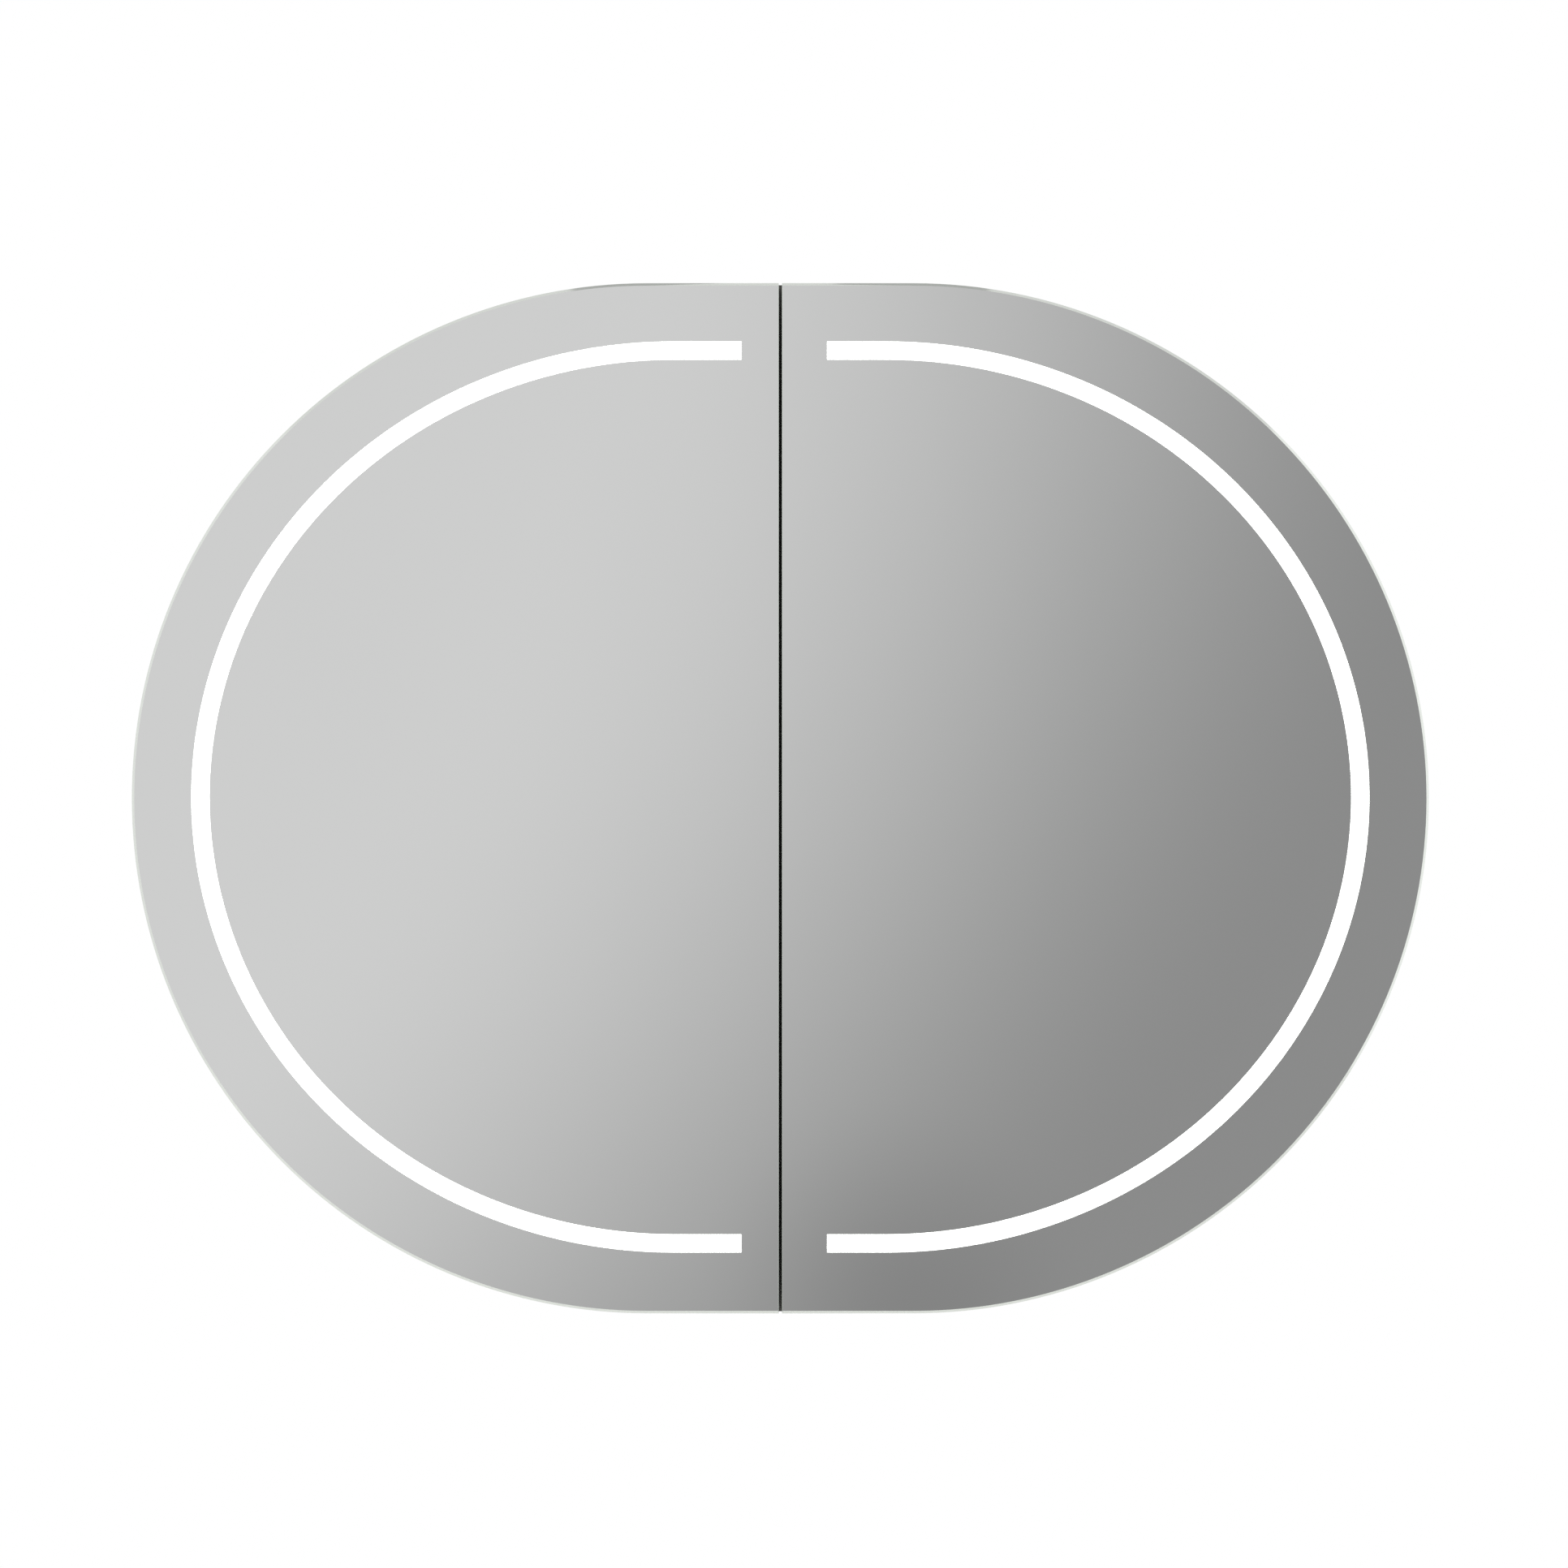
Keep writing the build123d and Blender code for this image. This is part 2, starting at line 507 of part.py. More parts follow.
def make_door(side, hinge_holes):
    """One door, drawn on the right and mirrored for the left."""
    start = BAND_END[side]
    edge = SEAM / 2
    band_in = BAND_INSET + BAND_WIDTH
    outside = BAND_MID - CHANNEL_WIDTH / 2
    inside = BAND_MID + CHANNEL_WIDTH / 2
    lead_hole = rod(GROMMET_X, GROMMET_Z, 3.6, (DOOR_BACK - 5, CHANNEL_BACK + CHANNEL_WALL + 0.1))

    pane = plate(half_stadium(0, edge), CORE_FRONT, DOOR_FRONT)
    pane = chamfer(pane.edges().group_by(Axis.Y)[0].filter_by(Axis.Z), SEAM_ARRIS)
    pane = chamfer(pane.edges().group_by(Axis.Y)[0].filter_by(Axis.Z, reverse=True), ARRIS)
    pane -= plate(c_band(BAND_INSET, band_in, start), CORE_FRONT - 1, DOOR_FRONT + 1)

    slot_fit = 0.1
    lit = c_band(BAND_INSET + slot_fit, band_in - slot_fit, start + slot_fit)
    diffuser = plate(lit, CORE_FRONT - 3, DOOR_FRONT)
    diffuser += plate(c_band(outside + 2, inside - 2, start - 2), CORE_FRONT - 3, CORE_FRONT)

    end = start - 5.0
    channel = plate(c_band(outside, inside, end), CHANNEL_BACK, CORE_FRONT)
    channel -= plate(c_band(outside + CHANNEL_WALL, inside - CHANNEL_WALL, end + CHANNEL_WALL),
                     CHANNEL_BACK + CHANNEL_WALL, CORE_FRONT + 1)
    strip_edge = BAND_MID - LED_STRIP_WIDTH / 2
    strip = plate(c_band(strip_edge, strip_edge + LED_STRIP_WIDTH, start), CHANNEL_BACK + CHANNEL_WALL,
                  CHANNEL_BACK + CHANNEL_WALL + 1.0)

    band_out = EDGE_SET_BACK + EDGE_BAND
    edge_start = edge + EDGE_SET_BACK
    edging = half_stadium(EDGE_SET_BACK, edge_start) - half_stadium(band_out, edge_start + EDGE_BAND)
    core_outline = half_stadium(band_out + 0.1, edge_start + EDGE_BAND + 0.1)
    groove = plate(c_band(outside - FIT, inside + FIT, end - FIT), CHANNEL_BACK - FIT, CORE_FRONT + 1)
    core = plate(core_outline, CORE_BACK, CORE_FRONT) - groove - lead_hole
    back = plate(core_outline, DOOR_BACK, CORE_BACK) - lead_hole
    strikes = [block((edge_start + 4, edge_start + 16), (DOOR_BACK, DOOR_BACK + 1.2), (z - 15, z + 15))
               for z in MAGNET_ZS]
    grommet = rod(GROMMET_X, GROMMET_Z, 3.6, (DOOR_BACK, CORE_BACK + 1.2))
    grommet += rod(GROMMET_X, GROMMET_Z, 5.2, (DOOR_BACK - 1.2, DOOR_BACK))
    grommet -= rod(GROMMET_X, GROMMET_Z, LEAD_R + 0.3, (DOOR_BACK - 3, CORE_BACK + 3))

    made = {
        "mirror_glass": pane,
        "light_diffuser": diffuser,
        "light_channel": channel - lead_hole,
        "led_strip": strip,
        "led_chips": group(led_chips(start)),
        "edge_band": plate(edging, DOOR_BACK, CORE_FRONT),
        "door_core": core - hinge_holes,
        "door_back_board": back - hinge_holes - strikes,
        "strike_plates": group(strikes),
        "lead_grommet": grommet,
    }
    for name, shape in made.items():
        pieces[side + "_" + name] = flip(shape) if side == "left" else shape


make_box()
make_electrics()
make_switch()
door_screw_holes = make_hinges()
make_catches()
make_door("left", door_screw_holes)
make_door("right", door_screw_holes)

os.makedirs("parts", exist_ok=True)
for name, shape in pieces.items():
    export_step(shape, os.path.join("parts", name + ".step"))
print(len(pieces), "nodes")
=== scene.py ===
# %% [markdown]
# # A lit medicine cabinet with two mirror doors
#
# This lesson dresses a finished CAD model of a wall-hung mirror cabinet. The CAD model fixes every
# size and place, so the first step only loads it and reads the sizes that the later steps need.
# Everything is in metres: +X to the right, +Z up, and the mirrors look along -Y.

# %% Load the frame
import math

import bpy
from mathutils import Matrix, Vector


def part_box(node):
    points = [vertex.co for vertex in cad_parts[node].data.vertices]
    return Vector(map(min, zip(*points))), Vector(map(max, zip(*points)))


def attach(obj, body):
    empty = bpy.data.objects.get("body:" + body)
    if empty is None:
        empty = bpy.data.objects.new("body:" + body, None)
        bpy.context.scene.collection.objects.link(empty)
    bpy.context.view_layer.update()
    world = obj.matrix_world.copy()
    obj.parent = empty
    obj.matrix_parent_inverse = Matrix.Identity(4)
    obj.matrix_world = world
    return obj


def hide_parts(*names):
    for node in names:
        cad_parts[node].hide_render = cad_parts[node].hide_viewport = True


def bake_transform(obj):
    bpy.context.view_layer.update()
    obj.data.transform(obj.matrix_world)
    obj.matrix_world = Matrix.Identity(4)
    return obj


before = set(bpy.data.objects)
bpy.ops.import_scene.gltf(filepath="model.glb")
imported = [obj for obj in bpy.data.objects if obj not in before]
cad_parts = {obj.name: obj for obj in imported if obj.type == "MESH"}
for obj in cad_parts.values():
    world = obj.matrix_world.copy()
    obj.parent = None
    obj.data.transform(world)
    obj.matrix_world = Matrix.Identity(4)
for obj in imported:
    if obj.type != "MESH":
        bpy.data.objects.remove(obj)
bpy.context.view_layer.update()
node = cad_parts

# %% [markdown]
# The doors together form a lying stadium: two half circles joined by short straight edges. The
# glass of one door gives the radius, the length of the straight edge and the plane of the front.
# The strip of light emitters behind the glass gives the middle line of the lit band and its ends.

# %% Read the outline
glass_low, glass_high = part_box("right_mirror_glass")
END_R = (glass_high.z - glass_low.z) / 2
STRAIGHT = glass_high.x - END_R
SEAM_EDGE = glass_low.x
GLASS_FRONT, GLASS_BACK = glass_low.y, glass_high.y
strip_low, strip_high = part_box("right_led_strip")
STRIP_WIDTH = 0.010
LIT_WIDTH = 0.014
LIT_LIFT = (strip_high.z + strip_low.z) / 2
LIT_INSET = END_R - (strip_high.z - strip_low.z) / 2 + STRIP_WIDTH / 2 - LIT_WIDTH / 2
LIT_CENTRE = 0.082
LIT_START = {"right": strip_low.x, "left": -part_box("left_led_strip")[1].x}
SIGN = {"right": 1, "left": -1}
print("radius", round(END_R, 4), "straight", round(STRAIGHT, 4), "lit inset", round(LIT_INSET, 4))

# %% [markdown]
# ## Tools for modelling by operators
#
# Every operator works on what is selected, so each tool starts from a clean selection. The main
# shape here is half a stadium of some thickness: a cylinder laid on its side, cut in half by
# bisect, and its flat cut face pulled out to the seam by extrude. A fine count of segments keeps
# the long curve smooth in a reflection.

# %% Selection and finishing helpers
SEGMENTS = 256
PAST = 0.01    # how far a cutter reaches past what it cuts


def deselect():
    """Nothing is selected and nothing is active."""
    bpy.ops.object.select_all(action="DESELECT")
    bpy.context.view_layer.objects.active = None


def only(piece):
    """Make one object selected and active."""
    deselect()
    piece.select_set(True)
    bpy.context.view_layer.objects.active = piece
    return piece


def set_down(piece, name):
    """Put the object's place into its mesh, so that the object sits at the origin."""
    only(piece)
    bpy.ops.object.transform_apply(location=True, rotation=True, scale=True)
    piece.name = name
    piece.data.name = name
    return piece


def pick_faces(piece, wanted):
    """Go into edit mode with the faces selected for which wanted(centre, normal) holds."""
    only(piece)
    bpy.ops.object.mode_set(mode="EDIT")
    bpy.ops.mesh.select_mode(type="FACE")
    bpy.ops.mesh.select_all(action="DESELECT")
    bpy.ops.object.mode_set(mode="OBJECT")
    for face in piece.data.polygons:
        face.select = bool(wanted(face.center, face.normal))
    bpy.ops.object.mode_set(mode="EDIT")


def bevel_edges(piece, width, wanted):
    """Bevel the edges for which wanted(one end, other end) holds, by one flat facet."""
    only(piece)
    bpy.ops.object.mode_set(mode="EDIT")
    bpy.ops.mesh.select_mode(type="EDGE")
    bpy.ops.mesh.select_all(action="DESELECT")
    bpy.ops.object.mode_set(mode="OBJECT")
    corners = piece.data.vertices
    for edge in piece.data.edges:
        edge.select = bool(wanted(*[corners[number].co for number in edge.vertices]))
    bpy.ops.object.mode_set(mode="EDIT")
    bpy.ops.mesh.bevel(offset=width, segments=1, affect="EDGES")
    bpy.ops.object.mode_set(mode="OBJECT")
    return piece


def apply_modifier(piece, kind, **settings):
    """Add one modifier, set it, and apply it."""
    only(piece)
    bpy.ops.object.modifier_add(type=kind)
    modifier = piece.modifiers[-1]
    for key, value in settings.items():
        setattr(modifier, key, value)
    bpy.ops.object.modifier_apply(modifier=modifier.name)
    return piece


def cut(piece, cutter):
    """Take the cutter's shape out of the piece, and delete the cutter."""
    apply_modifier(piece, "BOOLEAN", operation="DIFFERENCE", solver="EXACT", object=cutter)
    bpy.data.objects.remove(cutter)
    return piece


def smooth(piece):
    """Smooth shading, with edges over 35 degrees kept sharp."""
    only(piece)
    bpy.ops.object.shade_smooth_by_angle(angle=math.radians(35))
    return piece


def soften(piece, width, segments=2):
    """Round every sharp edge by a small bevel, then shade the curved walls smooth."""
    apply_modifier(piece, "BEVEL", width=width, segments=segments, limit_method="ANGLE",
                   angle_limit=math.radians(40), harden_normals=False)
    return smooth(piece)


# %% The half stadium
def half_slab(name, side, inset, start, back, front, lit=False):
    """Half a stadium, shrunk by inset, from x = start outwards, between two y planes.

    A door ends in a half circle. The lit band's end is a half ellipse about a centre that lies
    further in, and the band sits a little higher than the door's middle.
    """
    sign = SIGN[side]
    centre, lift = (LIT_CENTRE, LIT_LIFT) if lit else (STRAIGHT, 0.0)
    reach, rise = STRAIGHT + END_R - centre - inset, END_R - inset
    deselect()
    bpy.ops.mesh.primitive_cylinder_add(vertices=SEGMENTS, radius=1.0, depth=back - front,
                                        rotation=(math.pi / 2, 0, 0))
    bpy.ops.transform.resize(value=(reach, 1.0, rise))
    bpy.ops.transform.translate(value=(sign * centre, (back + front) / 2, lift))
    piece = set_down(bpy.context.object, name)
    bpy.ops.object.mode_set(mode="EDIT")
    bpy.ops.mesh.select_all(action="SELECT")
    bpy.ops.mesh.bisect(plane_co=(sign * centre, 0, 0), plane_no=(sign, 0, 0), use_fill=True,
                        clear_inner=True)
    bpy.ops.object.mode_set(mode="OBJECT")
    pick_faces(piece, lambda at, normal: normal.x * sign < -0.9 and abs(at.x - sign * centre) < 1e-4)
    bpy.ops.mesh.extrude_region_move(TRANSFORM_OT_translate={"value": (sign * (start - centre), 0, 0)})
    bpy.ops.object.mode_set(mode="OBJECT")
    return piece


def half_ring(name, side, outer, inner, start, back, front, lit=False):
    """The strip between two insets of the half stadium, open towards the seam."""
    piece = half_slab(name, side, outer, start, back, front, lit)
    core = half_slab(name + "_core", side, inner, start - PAST, back + PAST, front - PAST, lit)
    return cut(piece, core)


# %% [markdown]
# ## Shader maths as Python
#
# A material here is a small program. One class wraps a socket, and its operators add Math nodes,
# so a mask reads like the formula that it is. Colours are mixed by Mix nodes, because a Math node
# would turn them grey. Numbers that are the same all over the surface are set on the shader itself.

# %% A socket that can be calculated with
class Wire:
    """One output socket, with arithmetic."""

    def __init__(self, finish, socket):
        self.finish = finish
        self.socket = socket

    def _math(self, operation, first, second=None):
        values = [first] if second is None else [first, second]
        return self.finish.add("ShaderNodeMath", dict(enumerate(values)), operation=operation)

    def __add__(self, other):
        return self._math("ADD", self, other)

    def __radd__(self, other):
        return self._math("ADD", other, self)

    def __sub__(self, other):
        return self._math("SUBTRACT", self, other)

    def __rsub__(self, other):
        return self._math("SUBTRACT", other, self)

    def __mul__(self, other):
        return self._math("MULTIPLY", self, other)

    def __rmul__(self, other):
        return self._math("MULTIPLY", other, self)

    def __truediv__(self, other):
        return self._math("DIVIDE", self, other)

    def __rtruediv__(self, other):
        return self._math("DIVIDE", other, self)

    def __pow__(self, other):
        return self._math("POWER", self, other)

    def __abs__(self):
        return self._math("ABSOLUTE", self)

    def least(self, other):
        return self._math("MINIMUM", self, other)

    def most(self, other):
        return self._math("MAXIMUM", self, other)

    def ramp(self, low, high, to_low=0.0, to_high=1.0):
        """A smooth step from to_low below low to to_high above high."""
        values = {"Value": self, "From Min": low, "From Max": high, "To Min": to_low, "To Max": to_high}
        return self.finish.add("ShaderNodeMapRange", values, interpolation_type="SMOOTHSTEP")


# %% A material that is built node by node
class Finish:
    """A material, world or light with its nodes. Values are numbers, colours or Wires."""

    def __init__(self, name, owner=None):
        self.owner = owner or bpy.data.materials.new(name)
        self.owner.use_nodes = True
        self.nodes = self.owner.node_tree.nodes
        self.links = self.owner.node_tree.links
        self.shader = self.nodes.get("Principled BSDF")

    def add(self, kind, values=None, output=0, **settings):
        """Add a node, set its settings first, then its sockets, and return one output."""
        made = self.nodes.new(kind)
        for key, value in settings.items():
            setattr(made, key, value)
        for key, value in (values or {}).items():
            self.feed(made.inputs[key], value)
        return Wire(self, made.outputs[output])

    def feed(self, socket, value):
        """Link a Wire to a socket, or set the socket's own value."""
        if isinstance(value, Wire):
            self.links.new(value.socket, socket)
        elif isinstance(value, tuple) and len(value) == 3 and socket.type == "RGBA":
            socket.default_value = (*value, 1.0)
        else:
            socket.default_value = value

    def set(self, **values):
        """Set or link the shader's sockets; Base_Color stands for Base Color."""
        for key, value in values.items():
            self.feed(self.shader.inputs[key.replace("_", " ")], value)
        return self

    def place(self):
        """Object coordinates, in metres in the cabinet's own frame."""
        return self.add("ShaderNodeTexCoord", output="Object")

    def parts(self, vector):
        """The x, y and z of a vector."""
        split = self.nodes.new("ShaderNodeSeparateXYZ")
        self.feed(split.inputs[0], vector)
        return [Wire(self, output) for output in split.outputs]

    def normal_parts(self):
        """The x, y and z of the surface's own direction."""
        return self.parts(self.add("ShaderNodeNewGeometry", output="Normal"))

    def stretched(self, scale):
        """The place, scaled by a different amount along each axis."""
        return self.add("ShaderNodeMapping", {"Vector": self.place(), "Scale": scale})

    def noise(self, scale, detail=3.0, roughness=0.5, vector=None):
        """Even noise from 0 to 1."""
        values = {"Vector": vector or self.place(), "Scale": scale, "Detail": detail, "Roughness": roughness}
        return self.add("ShaderNodeTexNoise", values)

    def mix(self, factor, low, high):
        """A colour between two colours."""
        made = self.nodes.new("ShaderNodeMix")
        made.data_type = "RGBA"
        colour_a, colour_b = [s for s in made.inputs if s.type == "RGBA"]
        self.feed(made.inputs["Factor"], factor)
        self.feed(colour_a, low)
        self.feed(colour_b, high)
        return Wire(self, next(s for s in made.outputs if s.type == "RGBA"))

    def bump(self, height, strength, distance):
        """Fine relief from a height."""
        return self.add("ShaderNodeBump", {"Height": height, "Strength": strength, "Distance": distance})


# %% [markdown]
# ## The silvered mirror
#
# A mirror door is float glass with silver on its back. Seen straight on it is one even reflection,
# so the face is fully metallic and almost free of roughness, with only the faintest waves and
# wiped-over haze. At the polished bevel the silver stops and the glass shows its own pale green
# body, which is brighter and a little softer. The surface's direction tells the two apart.

# %% Mirror glass
def mirror_finish():
    f = Finish("silvered_mirror")
    _, facing, _ = f.normal_parts()
    edge = abs(facing).ramp(0.90, 0.99, 1.0, 0.0)
    wiped = f.noise(1.0, detail=4.0, vector=f.stretched((6.0, 6.0, 2.2)))
    haze = wiped.ramp(0.45, 0.80)
    silver = f.mix(haze, (0.900, 0.905, 0.900), (0.892, 0.898, 0.894))
    f.set(Base_Color=f.mix(edge, silver, (0.93, 0.965, 0.925)))
    f.set(Metallic=1.0 - edge * 0.12, Roughness=0.004 + haze * 0.006 + edge * 0.09)
    f.set(IOR=1.52)
    return f.owner


# %% [markdown]
# ## The lit band
#
# Behind the band sits a row of light chips in a channel, and an opal insert spreads their light
# until no single chip can be seen. It glows pure white, and only its thin polished skin would
# catch a reflection. A trace of unevenness along the row keeps it from looking like cut paper when
# it is seen at an angle.

# %% Opal insert and light chips
def lit_finish():
    f = Finish("lit_opal")
    cloud = f.noise(9.0, detail=2.0).ramp(0.3, 0.7, 0.97, 1.0)
    f.set(Base_Color=f.mix(cloud, (0.90, 0.90, 0.89), (0.96, 0.96, 0.95)))
    f.set(Emission_Color=f.mix(cloud, (0.97, 0.98, 0.97), (1.0, 1.0, 1.0)))
    f.set(Emission_Strength=1.15, Roughness=0.28, IOR=1.49)
    return f.owner


def chip_finish():
    f = Finish("light_chips")
    _, facing, _ = f.normal_parts()
    window = facing.ramp(-0.9, -0.5, 1.0, 0.0)
    f.set(Base_Color=f.mix(window, (0.86, 0.85, 0.80), (0.95, 0.83, 0.42)))
    f.set(Emission_Color=f.mix(window, (0.0, 0.0, 0.0), (1.0, 0.97, 0.90)))
    f.set(Emission_Strength=2.0, Roughness=0.35)
    return f.owner


# %% [markdown]
# ## White lacquer, metals, glass and mouldings
#
# The box is lacquered board. Sprayed lacquer is never quite flat: it has a soft orange-peel
# ripple a few millimetres across, and a slightly uneven sheen. The back panel has a harder, drier
# coat with the weave of pressed board under it.

# %% Lacquer and board
def lacquer_finish():
    f = Finish("sprayed_lacquer")
    peel = f.noise(420.0, detail=2.0, roughness=0.45)
    drift = f.noise(5.0, detail=1.0)
    f.set(Base_Color=f.mix(drift, (0.807, 0.807, 0.797), (0.790, 0.791, 0.783)))
    f.set(Roughness=0.27 + drift * 0.03, Coat_Weight=0.30, Coat_Roughness=0.12, IOR=1.48)
    f.set(Normal=f.bump(peel, 0.10, 0.0003))
    return f.owner


def panel_finish():
    f = Finish("coated_hardboard")
    weave = f.noise(900.0, detail=3.0, roughness=0.6)
    patch = f.noise(11.0, detail=4.0).ramp(0.3, 0.8)
    f.set(Base_Color=f.mix(patch, (0.735, 0.735, 0.725), (0.700, 0.700, 0.692)))
    f.set(Roughness=0.52 + weave * 0.12, IOR=1.45, Normal=f.bump(weave, 0.30, 0.0003))
    return f.owner


def fibreboard_finish():
    f = Finish("raw_fibreboard")
    fibres = f.noise(700.0, detail=6.0, roughness=0.7)
    cloud = f.noise(25.0, detail=4.0)
    f.set(Base_Color=f.mix(fibres * 0.7 + cloud * 0.3, (0.34, 0.24, 0.14), (0.60, 0.46, 0.30)))
    f.set(Roughness=0.78 + fibres * 0.12, Normal=f.bump(fibres, 0.5, 0.0004))
    return f.owner


def beech_finish():
    f = Finish("beech_dowel")
    grain = f.noise(1.0, detail=5.0, vector=f.stretched((60.0, 900.0, 900.0)))
    f.set(Base_Color=f.mix(grain, (0.52, 0.36, 0.21), (0.76, 0.60, 0.40)))
    f.set(Roughness=0.62 + grain * 0.15, Normal=f.bump(grain, 0.4, 0.0003))
    return f.owner


# %% [markdown]
# Rolled aluminium and plated steel differ in their lines. The aluminium band was drawn through a
# die, so its scratches run along it, which on this cabinet means at a constant depth from the
# wall. The hinge strip is rolled and plated: its lines run along its length and it is a little
# warmer from the nickel.

# %% Metals
def metal_finish(name, colour, dark, lines, roughness, scratch):
    f = Finish(name)
    drawn = f.noise(1.0, detail=5.0, roughness=0.65, vector=f.stretched(lines))
    tarnish = f.noise(30.0, detail=3.0).ramp(0.4, 0.8)
    f.set(Base_Color=f.mix(drawn * 0.6 + tarnish * 0.4, colour, dark), Metallic=1.0)
    f.set(Roughness=roughness + drawn * 0.14 + tarnish * 0.05, Normal=f.bump(drawn, scratch, 0.0001))
    return f.owner


# %% [markdown]
# The shelves are clear toughened glass. Clear glass has almost no colour through its face and a
# deep sea green through its edge, where light travels the whole width of the pane. The edge is
# polished, so it is clear but slightly softer.

# %% Shelf glass
def shelf_finish():
    f = Finish("clear_shelf_glass")
    _, _, up = f.normal_parts()
    face = abs(up).ramp(0.80, 0.98)
    f.set(Base_Color=f.mix(face, (0.42, 0.74, 0.64), (0.93, 0.985, 0.965)))
    f.set(Roughness=0.02 + (1.0 - face) * 0.10, IOR=1.52, Transmission_Weight=0.92)
    return f.owner


# %% [markdown]
# Moulded housings carry a fine spark-eroded texture from the mould, rubber is darker and drier,
# and the rocker is polished. One function makes them all, because they differ only in colour,
# grain size and shine. The charcoal strip in the door seam is painted shade: its dark colour stands
# in for the shade deep in the narrow gap.

# %% Mouldings and rubber
def moulded_finish(name, colour, grain_scale, relief, roughness):
    f = Finish(name)
    grain = f.noise(grain_scale, detail=4.0, roughness=0.6)
    aged = f.noise(14.0, detail=3.0).ramp(0.35, 0.85)
    yellowed = tuple(c * k for c, k in zip(colour, (0.965, 0.955, 0.92)))
    f.set(Base_Color=f.mix(aged, colour, yellowed))
    f.set(Roughness=roughness + grain * 0.12, IOR=1.47, Normal=f.bump(grain, relief, 0.0003))
    return f.owner


def circuit_finish():
    f = Finish("green_circuit_board")
    _, y, _ = f.parts(f.place())
    tracks = f.add("ShaderNodeTexBrick", {"Vector": f.stretched((320.0, 320.0, 320.0)), "Scale": 1.0})
    mask = f.noise(300.0, detail=1.0).ramp(0.48, 0.52)
    green = f.mix(mask, (0.010, 0.115, 0.045), (0.018, 0.185, 0.075))
    tall = (y * -1000.0).ramp(13.2, 13.8)
    f.set(Base_Color=f.mix(tall, green, (0.055, 0.052, 0.05)), Roughness=0.34 + mask * 0.15)
    f.set(Normal=f.bump(tracks, 0.3, 0.0003))
    return f.owner


def strip_finish():
    f = Finish("light_strip_board")
    pads = f.noise(160.0, detail=1.0).ramp(0.60, 0.64)
    f.set(Base_Color=f.mix(pads, (0.88, 0.88, 0.86), (0.72, 0.52, 0.26)), Metallic=pads * 0.9)
    f.set(Roughness=0.42 - pads * 0.10)
    return f.owner


# %% [markdown]
# ## Finishes for the CAD nodes
#
# Each CAD node keeps its shape and gets its finish by name. The list goes from particular words
# to general ones, and the first word that is found in a node's name decides.

# %% Give every node its finish
steel = ((0.66, 0.65, 0.63), (0.50, 0.49, 0.47))
zinc = ((0.62, 0.63, 0.64), (0.46, 0.47, 0.48))
MIRROR = mirror_finish()
LIT = lit_finish()
LACQUER = lacquer_finish()
ALUMINIUM = metal_finish("drawn_aluminium", (0.80, 0.80, 0.79), (0.66, 0.66, 0.65),
                         (3.0, 2600.0, 3.0), 0.22, 0.25)
SHEATH = moulded_finish("pale_lead_sheath", (0.78, 0.78, 0.76), 700.0, 0.15, 0.38)
RUBBER = moulded_finish("black_rubber", (0.018, 0.018, 0.018), 500.0, 0.35, 0.62)
# painted shade: the charcoal strip in the seam between the doors stands in for the shade deep in that narrow
# gap
SEAM_SHADE = moulded_finish("seam_shade_strip", (0.085, 0.085, 0.080), 500.0, 0.35, 0.62)
HOUSING = moulded_finish("textured_moulding", (0.74, 0.74, 0.725), 1400.0, 0.35, 0.42)
FINISH_OF = (
    ("mirror_glass", MIRROR), ("light_diffuser", LIT), ("led_chips", chip_finish()),
    ("led_strip", strip_finish()), ("driver_board", circuit_finish()),
    ("glass_shelf", shelf_finish()), ("door_core", fibreboard_finish()),
    ("board_dowels", beech_finish()), ("edge_band", ALUMINIUM), ("light_channel", ALUMINIUM),
    ("_screws", metal_finish("bright_zinc", *zinc, (500.0, 60.0, 500.0), 0.26, 0.2)),
    ("hinge", metal_finish("nickelled_steel", *steel, (900.0, 900.0, 12.0), 0.20, 0.2)),
    ("shelf_pegs", metal_finish("turned_steel", *steel, (12.0, 900.0, 900.0), 0.22, 0.2)),
    ("plates", metal_finish("zinc_sheet", *zinc, (80.0, 80.0, 80.0), 0.34, 0.15)),
    ("magnets", moulded_finish("magnet_moulding", (0.70, 0.70, 0.69), 900.0, 0.2, 0.36)),
    ("bumpers", moulded_finish("clear_bumper", (0.62, 0.62, 0.60), 300.0, 0.1, 0.30)),
    ("grommet", RUBBER), ("seam_seal", SEAM_SHADE), ("_lead", SHEATH),
    ("terminal", moulded_finish("nylon", (0.66, 0.63, 0.55), 400.0, 0.2, 0.4)),
    ("switch", moulded_finish("switch_moulding", (0.80, 0.80, 0.785), 300.0, 0.05, 0.16)),
    ("clips", HOUSING), ("driver_box", HOUSING), ("junction_box", HOUSING), ("lids", HOUSING),
    ("door_back_board", LACQUER), ("back_board", panel_finish()), ("board", LACQUER), ("divider", LACQUER),
)
for name, piece in node.items():
    finish = next(material for word, material in FINISH_OF if word in name)
    piece.data.materials.clear()
    piece.data.materials.append(finish)
print("finishes given:", len({piece.data.materials[0].name for piece in node.values()}))

# %% [markdown]
# ## Mirror panes
#
# The pane is the part that everybody looks at, so it is modelled again at a finer count of
# segments than the CAD model has. A real pane is cut, ground and then given a small polished
# bevel, the arris, round its front edge, and a finer one along the seam. The slot for the lit
# band is cut last, so that the bevel runs only round the outline.

# %% Model both panes and their lit bands
ARRIS = 0.0020
SEAM_ARRIS = 0.0005
SLOT_FIT = 0.0001
FLANGE = 0.003        # the insert's flange, past the slot's long sides
FLANGE_END = 0.002    # and past its ends


def lit_band(name, side, back, front, fit):
    """The C-shaped band, shrunk by fit on every side."""
    return half_ring(name, side, LIT_INSET + fit, LIT_INSET + LIT_WIDTH - fit, LIT_START[side] + fit,
                     back, front, lit=True)


